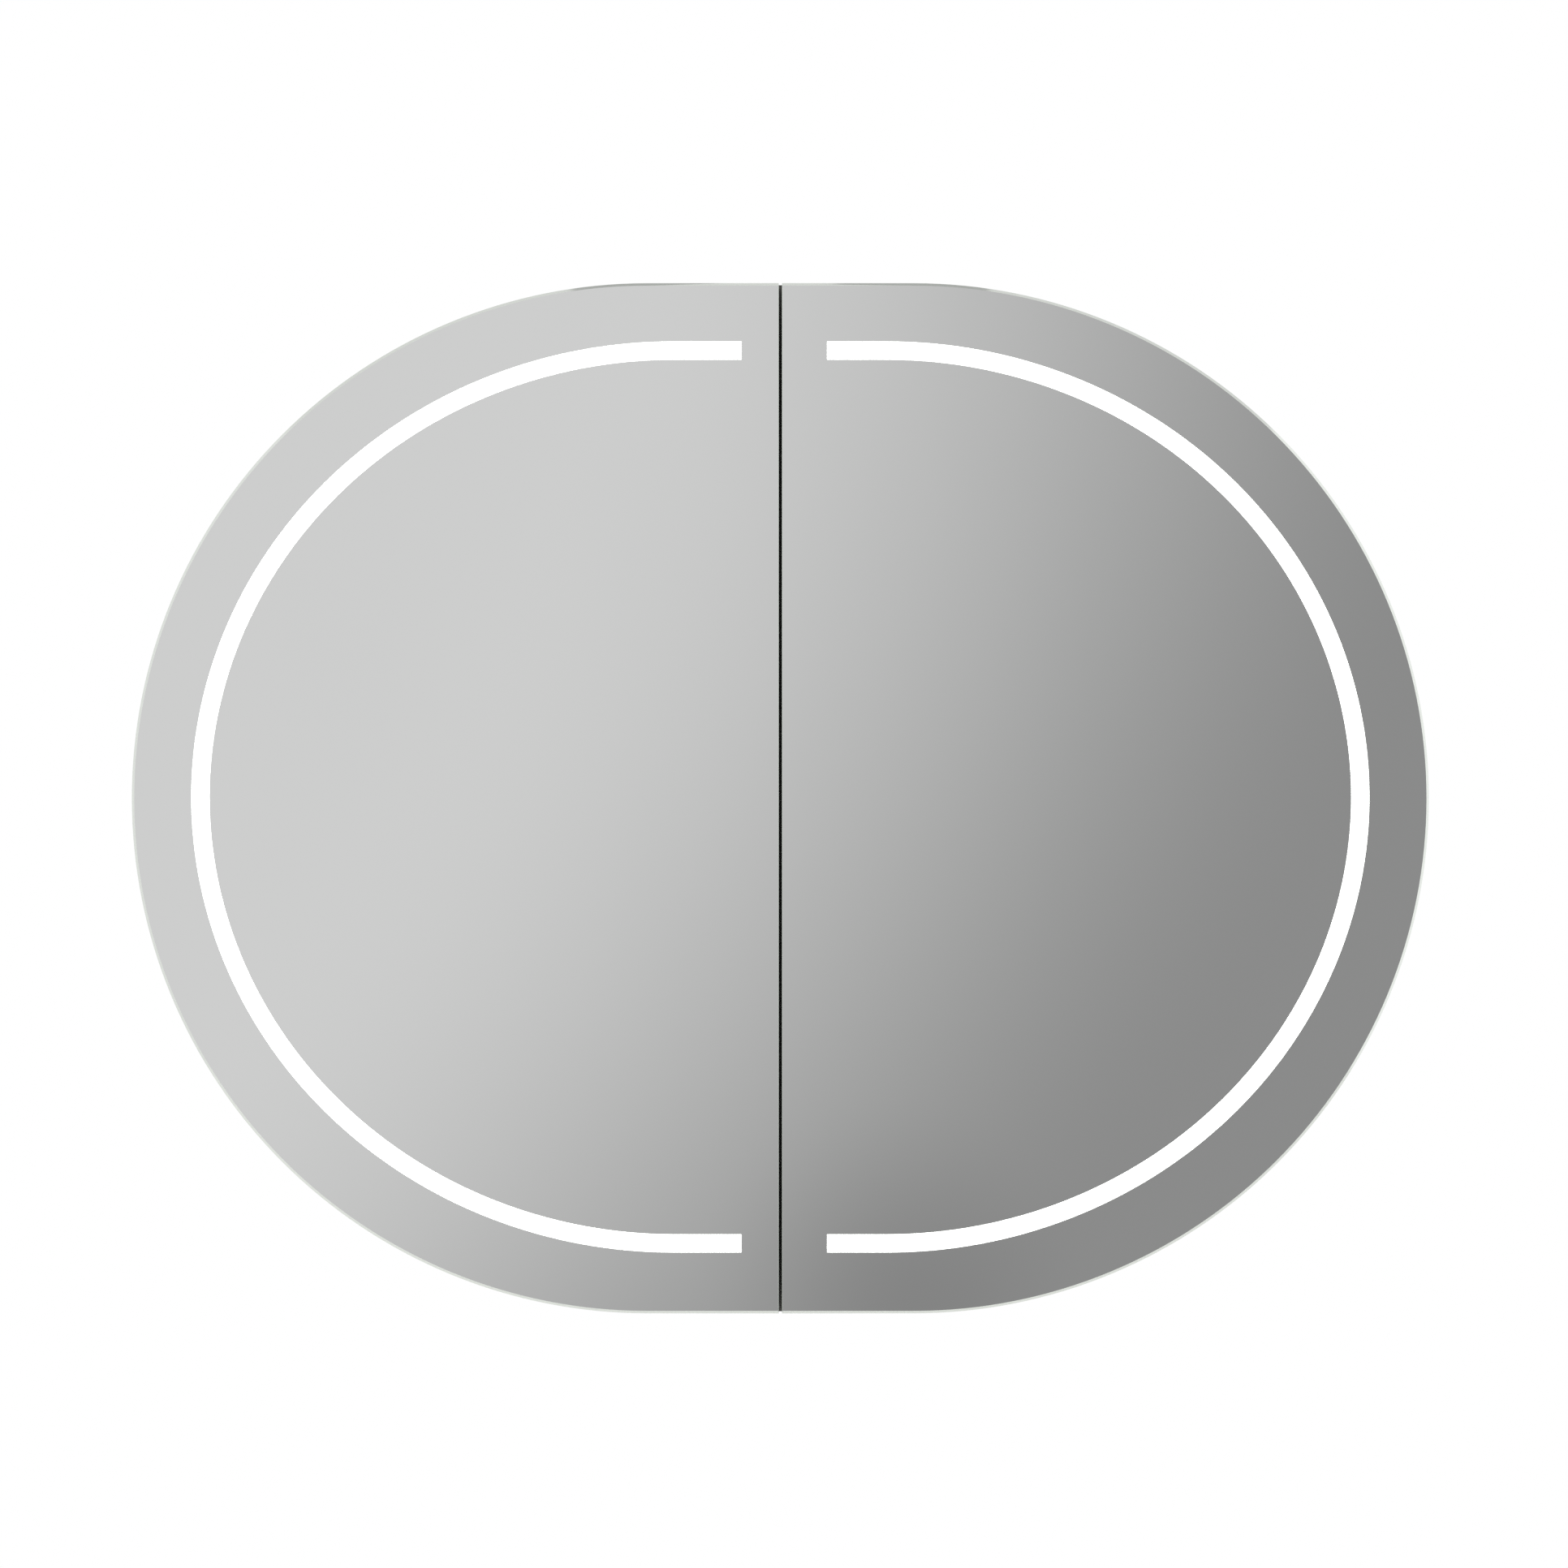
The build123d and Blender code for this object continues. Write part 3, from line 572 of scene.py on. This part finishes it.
def mirror_pane(side):
    pane = half_slab(side + "_mirror_pane", side, 0.0, SEAM_EDGE, GLASS_BACK, GLASS_FRONT)

    def at_front(a, b):
        return max(a.y, b.y) < GLASS_FRONT + 0.0001

    def along_seam(a, b):
        return max(abs(a.x), abs(b.x)) < SEAM_EDGE + 0.001

    bevel_edges(pane, SEAM_ARRIS, lambda a, b: at_front(a, b) and along_seam(a, b))
    bevel_edges(pane, ARRIS, lambda a, b: at_front(a, b) and not along_seam(a, b))
    pane = cut(pane, lit_band("slot", side, GLASS_BACK + PAST, GLASS_FRONT - PAST, 0.0))
    smooth(pane)
    pick_faces(pane, lambda at, normal: abs(normal.y) > 0.99)
    bpy.ops.mesh.faces_shade_flat()
    bpy.ops.object.mode_set(mode="OBJECT")
    pane.data.materials.append(MIRROR)
    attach(pane, side + "_door")
    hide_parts(side + "_mirror_glass")
    return pane


def lit_insert(side):
    """The opal insert, flush in its slot, on the wider flange that lies behind the glass."""
    flange_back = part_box(side + "_light_diffuser")[1].y
    insert = lit_band(side + "_lit_band", side, GLASS_BACK, GLASS_FRONT, SLOT_FIT)
    soften(insert, 0.0002, 1)
    flange = half_ring(side + "_flange", side, LIT_INSET - FLANGE, LIT_INSET + LIT_WIDTH + FLANGE,
                       LIT_START[side] - FLANGE_END, flange_back, GLASS_BACK, lit=True)
    only(insert)
    flange.select_set(True)
    bpy.ops.object.join()
    insert.data.materials.clear()
    insert.data.materials.append(LIT)
    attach(insert, side + "_door")
    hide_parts(side + "_light_diffuser")
    return insert


for side in ("left", "right"):
    pane = mirror_pane(side)
    band = lit_insert(side)
    print(side, "pane", len(pane.data.polygons), "faces, band", len(band.data.polygons), "faces")

# %% [markdown]
# ## Door edges and backs
#
# Behind the glass a thin aluminium band is bent round the door's core board. On the inside the
# door is closed by a lacquered board. Both show when the doors stand open, so both get soft edges.

# %% Edge bands and door backs
EDGE_BAND = 0.0015
STRIKE_HEIGHT = 0.030


def edge_band(side):
    low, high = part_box(side + "_edge_band")
    outer = END_R - high.z
    start = min(abs(low.x), abs(high.x))
    band = half_slab(side + "_door_edge", side, outer, start, high.y, low.y)
    inside = half_slab("inside", side, outer + EDGE_BAND, start + EDGE_BAND, high.y + PAST, low.y - PAST)
    band = cut(band, inside)
    soften(band, 0.0003)
    band.data.materials.append(ALUMINIUM)
    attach(band, side + "_door")
    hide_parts(side + "_edge_band")
    return band


def block(name, low, high):
    """A block between two corners, as a cutter."""
    low, high = Vector(low), Vector(high)
    deselect()
    bpy.ops.mesh.primitive_cube_add(size=1.0, location=(low + high) / 2)
    bpy.ops.transform.resize(value=high - low)
    return set_down(bpy.context.object, name)


def door_back(side):
    """The lacquered board on the inside of a door, with pockets for the two strike plates."""
    low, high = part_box(side + "_door_back_board")
    start = min(abs(low.x), abs(high.x))
    board = half_slab(side + "_door_inside", side, END_R - high.z, start, high.y, low.y)
    strike_low, strike_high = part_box(side + "_strike_plates")
    for end_z, reach in ((strike_low.z, STRIKE_HEIGHT), (strike_high.z, -STRIKE_HEIGHT)):
        pocket_low = (strike_low.x, strike_low.y, min(end_z, end_z + reach))
        pocket_high = (strike_high.x, strike_high.y + 0.001, max(end_z, end_z + reach))
        cut(board, block("pocket", pocket_low, pocket_high))
    soften(board, 0.0005)
    board.data.materials.clear()
    board.data.materials.append(LACQUER)
    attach(board, side + "_door")
    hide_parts(side + "_door_back_board")
    return board


for side in ("left", "right"):
    print(side, "door edge", len(edge_band(side).data.polygons), "faces")
    print(side, "door back", len(door_back(side).data.polygons), "faces")

# %% [markdown]
# ## The lacquered box
#
# The box is four bent boards, a straight one above and below, and a flat one at each side for the
# hinge. Each is finished as its own board, with a hair-fine rounded arris, so that the joints
# between them show as the thin shadow lines that real lacquered boards have.

# %% Boards of the box
BOARD_ARRIS = 0.0006
corner_low, corner_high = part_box("right_upper_corner_board")
side_low, side_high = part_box("right_side_board")
BOX_INSET = END_R - corner_high.z
BOARD = side_high.x - side_low.x
BOX_FRONT, BOX_BACK = corner_low.y, corner_high.y


def finish_board(board, cad_name):
    """Soft edges, lacquer, and the CAD board that it stands for."""
    soften(board, BOARD_ARRIS)
    board.data.materials.clear()
    board.data.materials.append(LACQUER)
    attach(board, "cabinet")
    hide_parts(cad_name)
    return board


def bent_board(side, level):
    """A quarter of the rounded end, from the straight board down to the flat side board."""
    up = 1 if level == "upper" else -1
    name = f"{side}_{level}_bent_board"
    board = half_ring(name, side, BOX_INSET, BOX_INSET + BOARD, STRAIGHT, BOX_BACK, BOX_FRONT)
    only(board)
    bpy.ops.object.mode_set(mode="EDIT")
    bpy.ops.mesh.select_all(action="SELECT")
    bpy.ops.mesh.bisect(plane_co=(0, 0, up * side_high.z), plane_no=(0, 0, up), use_fill=True,
                        clear_inner=True)
    bpy.ops.object.mode_set(mode="OBJECT")
    return finish_board(board, f"{side}_{level}_corner_board")


def flat_board(name, cad_name, hole=None):
    """A flat board of the size that the CAD node has, with softened edges."""
    board = block(name, *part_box(cad_name))
    if hole is not None:
        cut(board, hole)
    return finish_board(board, cad_name)


def switch_hole():
    """The opening for the switch in the bottom board."""
    low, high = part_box("switch_housing")
    margin = Vector((0.0018, 0.0018, -0.001))
    return block("switch_hole", low + margin, high - margin)


for side in ("left", "right"):
    for level in ("upper", "lower"):
        print(side, level, len(bent_board(side, level).data.polygons), "faces")
    print(side, "flat", len(flat_board(side + "_flat_board", side + "_side_board").data.polygons), "faces")
print("top", len(flat_board("ceiling_board", "top_board").data.polygons), "faces")
print("bottom", len(flat_board("floor_board", "bottom_board", switch_hole()).data.polygons), "faces")

# %% [markdown]
# ## The leads to the doors
#
# Each door gets its low voltage through a thin white lead. It runs behind the shelf, down the side
# board to a clamp just below the middle, and from there up beside the hinge in a slack bow that
# enters the door through a rubber grommet. The bow is long enough for the door's whole swing. The
# run as far as the clamp is attached to the box, and the bow is left unattached. Both lines are smooth
# curves through a few listed points, and they meet inside the clamp.

# %% Model the leads
LEAD_R = 0.002
LEAD_RUN = (
    (0.1880, 0.0240, 0.3225), (0.2320, 0.0200, 0.3230), (0.2770, 0.0109, 0.3060),
    (0.3176, 0.0109, 0.2790), (0.3548, 0.0109, 0.2460), (0.3870, 0.0109, 0.2080),
    (0.4134, 0.0109, 0.1660), (0.4309, 0.0109, 0.1280), (0.4449, 0.0130, 0.0980),
    (0.4484, 0.0140, 0.0640), (0.4484, 0.0150, 0.0240), (0.4484, 0.0170, -0.0020),
    (0.4484, 0.0270, -0.0170), (0.4484, 0.0400, -0.0200), (0.4484, 0.0500, -0.0200),
)
LEAD_BOW = (
    (0.4484, 0.0460, -0.0200), (0.4484, 0.0640, -0.0200), (0.4480, 0.0760, -0.0270),
    (0.4460, 0.0880, -0.0260), (0.4420, 0.0960, -0.0140), (0.4370, 0.1000, 0.0030),
    (0.4320, 0.1020, 0.0240), (0.4300, 0.1030, 0.0460), (0.4310, 0.1030, 0.0640),
    (0.4330, 0.1030, 0.0800), (0.4336, 0.1050, 0.0930), (0.4336, 0.1200, 0.0930),
)


def lead_piece(name, side, route):
    curve = bpy.data.curves.new(name, "CURVE")
    curve.dimensions = "3D"
    curve.bevel_depth = LEAD_R
    curve.bevel_resolution = 5
    curve.resolution_u = 10
    curve.use_fill_caps = True
    spline = curve.splines.new("NURBS")
    spline.points.add(len(route) - 1)
    for spot, (x, depth, z) in zip(spline.points, route):
        spot.co = (SIGN[side] * x, -depth, z, 1.0)
    spline.order_u = 3
    spline.use_endpoint_u = True
    lead = bpy.data.objects.new(name, curve)
    bpy.context.scene.collection.objects.link(lead)
    only(lead)
    bpy.ops.object.convert(target="MESH")
    lead = smooth(set_down(bpy.context.object, name))
    lead.data.materials.clear()
    lead.data.materials.append(SHEATH)
    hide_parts(side + "_door_lead")
    print(name, len(lead.data.polygons), "faces")
    return lead


for side in ("left", "right"):
    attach(lead_piece(side + "_lead_run", side, LEAD_RUN), "cabinet")
    bow = lead_piece(side + "_lead_bow", side, LEAD_BOW)
    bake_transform(bow)

# %% [markdown]
# ## Studio
#
# The cabinet hangs in front of a white surround, over a pale floor that fades out. A mirror shows
# nothing of its own, so what it reflects has to be built: a large glowing card stands behind the
# camera's line, pale at the upper left and mid grey at the lower right, and its slow gradient is
# what the glass shows. The camera looks through the card, which only reflections can see.

# %% Camera
FRAME_WIDTH = 1.2083
AIM_X, AIM_Z = 0.0028, 0.0110
LENS, SENSOR = 200.0, 36.0
distance = FRAME_WIDTH * LENS / SENSOR
camera_data = bpy.data.cameras.new("camera")
camera_data.lens, camera_data.sensor_width = LENS, SENSOR
camera_data.clip_end = 100.0
camera = bpy.data.objects.new("camera", camera_data)
bpy.context.scene.collection.objects.link(camera)
camera.location = (AIM_X, GLASS_FRONT - distance, AIM_Z)
camera.rotation_euler = (math.pi / 2, 0, 0)
bpy.context.scene.camera = camera
print("camera distance", round(distance, 3))

# %% Reflection card
CARD_Y = -2.6
CARD_SIZE = (9.0, 5.2)
CARD_Z = 1.75
MAGNIFY = 1 + (GLASS_FRONT - CARD_Y) / distance
DARK_GREY, PALE_GREY = 138.6, 205.1    # the card's two ends, in display levels of 255
PATCH_DEPTH, PATCH_REACH = 11.0, 0.32    # a soft darker patch, low beside the seam
SILVER = 0.90    # how much light the mirror gives back
SURROUND = 0.66


def card_finish():
    """Grey by place, worked out in units of half the cabinet's width as seen in the glass."""
    f = Finish("reflection_card")
    x, _, z = f.parts(f.place())
    half = MAGNIFY * (STRAIGHT + END_R)
    across = (x / half).most(-1.1).least(1.1)
    up = (z / half).most(-0.9).least(0.9)
    share = 0.659 - 0.624 * across + 0.346 * up + 0.061 * across * up
    share = share - 0.111 * across * across - 0.162 * up * up
    corner = ((across - 0.17) ** 2.0 + (up + 0.76) ** 2.0) ** 0.5
    patch = corner.ramp(0.0, PATCH_REACH, PATCH_DEPTH, 0.0)
    grey = share.ramp(0.0, 1.0, DARK_GREY, PALE_GREY) - patch
    display = (grey / 255.0 + 0.055) / 1.055
    light = display ** 2.4 / SILVER
    rim = abs(x).ramp(2.2, 4.3).most(z.ramp(-0.85, -0.60, 1.0, 0.0)).most(z.ramp(1.6, 4.0))
    tone = f.mix(light, (0.0, 0.0, 0.0), (1.0, 1.0, 1.0))
    tone = f.mix(rim, tone, (SURROUND, SURROUND, SURROUND))
    emission = f.add("ShaderNodeEmission", {"Strength": 1.0, "Color": tone})
    f.nodes.remove(f.shader)
    f.feed(f.nodes["Material Output"].inputs["Surface"], emission)
    return f.owner


deselect()
bpy.ops.mesh.primitive_plane_add(size=1.0, location=(0, CARD_Y, CARD_Z), rotation=(math.pi / 2, 0, 0))
bpy.ops.transform.resize(value=(CARD_SIZE[0], 1.0, CARD_SIZE[1]))
card = set_down(bpy.context.object, "reflection_card")
card.data.materials.append(card_finish())
card.visible_camera = False
card.visible_shadow = False

# %% [markdown]
# Three smaller aids give the polished bevel its outline. A bevel at 45 degrees reflects what lies
# straight beside it, so a bright card at the right makes a pale rim there, a dimmer one at the left
# makes a greyer rim, and a narrow dark flag above the doors draws a fine dark line along their top.

# %% Rim cards and flag
def side_aid(name, centre, size, strength):
    """A plain glowing block that only reflections can see."""
    centre, size = Vector(centre), Vector(size)
    aid = block(name, centre - size / 2, centre + size / 2)
    f = Finish(name)
    shine = f.add("ShaderNodeEmission", {"Strength": strength, "Color": (1.0, 1.0, 0.99)})
    f.nodes.remove(f.shader)
    f.feed(f.nodes["Material Output"].inputs["Surface"], shine)
    aid.data.materials.append(f.owner)
    aid.visible_camera = False
    aid.visible_diffuse = False
    aid.visible_shadow = False


side_aid("rim_card", (1.50, -0.10, 0.10), (0.01, 0.60, 2.60), 0.88)
side_aid("left_rim_card", (-1.50, -0.10, 0.10), (0.01, 0.60, 2.60), 0.74)
side_aid("top_flag", (0.0, -0.14, 0.95), (0.50, 0.30, 0.01), 0.36)

# %% Floor
FLOOR_Z = -0.85
FLOOR_R = 2.6


def floor_finish():
    """Pale matt floor that fades out towards its rim."""
    f = Finish("pale_floor")
    x, y, _ = f.parts(f.place())
    reach = (x * x + y * y) ** 0.5
    f.set(Base_Color=f.mix(f.noise(3.0), (0.80, 0.80, 0.79), (0.83, 0.83, 0.82)), Roughness=0.6)
    f.set(Alpha=(reach / FLOOR_R).ramp(0.55, 0.98, 1.0, 0.0))
    return f.owner


deselect()
bpy.ops.mesh.primitive_circle_add(vertices=96, radius=FLOOR_R, fill_type="NGON",
                                  location=(0, 0, FLOOR_Z))
floor = set_down(bpy.context.object, "pale_floor")
floor.data.materials.append(floor_finish())

# %% Surround and lights
world = bpy.data.worlds.new("surround")
bpy.context.scene.world = world
w = Finish("surround", world)
w.nodes.clear()
seen = w.add("ShaderNodeLightPath", output="Is Camera Ray")
tone = w.mix(seen, (SURROUND, SURROUND, SURROUND * 0.985), (1.0, 1.0, 1.0))
shade = w.add("ShaderNodeBackground", {"Color": tone, "Strength": 1.0})
w.feed(w.nodes.new("ShaderNodeOutputWorld").inputs["Surface"], shade)


def soft_light(name, place, size, power):
    """A square area light that looks at the cabinet."""
    data = bpy.data.lights.new(name, "AREA")
    data.size, data.energy = size, power
    light = bpy.data.objects.new(name, data)
    bpy.context.scene.collection.objects.link(light)
    light.location = place
    light.rotation_euler = (Vector((0, 0, 0)) - Vector(place)).to_track_quat("-Z", "Y").to_euler()
    light.visible_glossy = False
    return light


soft_light("key", (-2.2, -2.2, 2.4), 1.6, 48.0)
soft_light("fill", (2.6, -1.6, 1.0), 2.0, 14.0)
soft_light("back", (1.2, 2.6, 2.0), 1.8, 26.0)
bpy.context.scene.view_settings.view_transform = "Standard"
bpy.context.scene.view_settings.look = "None"
